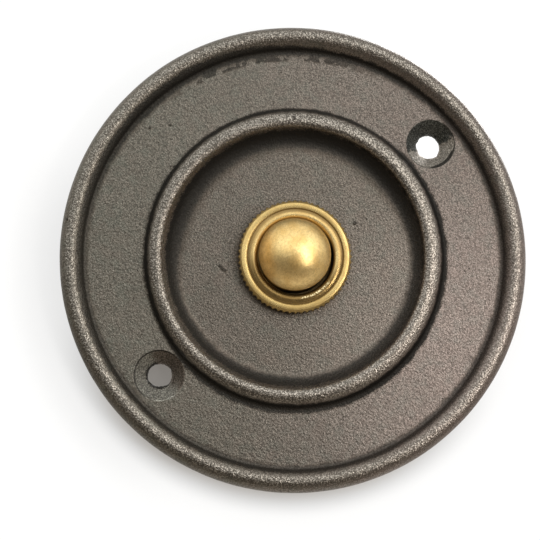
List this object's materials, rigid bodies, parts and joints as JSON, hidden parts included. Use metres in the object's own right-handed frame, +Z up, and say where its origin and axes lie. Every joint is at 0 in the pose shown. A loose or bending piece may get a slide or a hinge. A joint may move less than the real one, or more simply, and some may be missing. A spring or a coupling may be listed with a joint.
{
  "type": "doorbell push button",
  "caption": "Round cast iron bell push with beaded rim, dished centre, countersunk fixing holes and a domed brass button in a knurled ring nut, with its switch behind the plate.",
  "frame": {"origin": "centre of the plate's foot, on the wall", "axes": "+Y into the wall, +Z up, +X to the right as seen from the front"},
  "size_m": [0.076, 0.0259, 0.076],
  "materials": {
    "iron": "sand-cast, waxed",
    "brass": "turned, satin",
    "bronze": "rolled strip",
    "steel": "zinc plated",
    "fibre": "vulcanised fibre",
    "phenolic": "moulded"
  },
  "bodies": {
    "plate": {"cast_plate": "iron", "ring_nut": "brass", "lock_washer": "steel", "barrel": "brass", "return_spring": "steel", "guide_disc": "fibre", "switch_base": "phenolic", "contact_left": "brass", "contact_right": "brass", "terminal_screws": "brass", "terminal_washers": "brass", "base_screws": "steel", "base_washers": "steel"},
    "button": {"push_button": "brass", "bridge_bush": "fibre", "contact_bridge": "bronze", "bridge_washer": "fibre", "stem_clip": "steel"}
  },
  "joints": [
    {"name": "button_press", "type": "slide", "parent": "plate", "child": "button", "axis": [0, 1, 0], "range_m": [0, 0.002], "stiffness_N_per_m": 900, "springref_m": -0.0015, "deforming": ["return_spring"]}
  ]
}
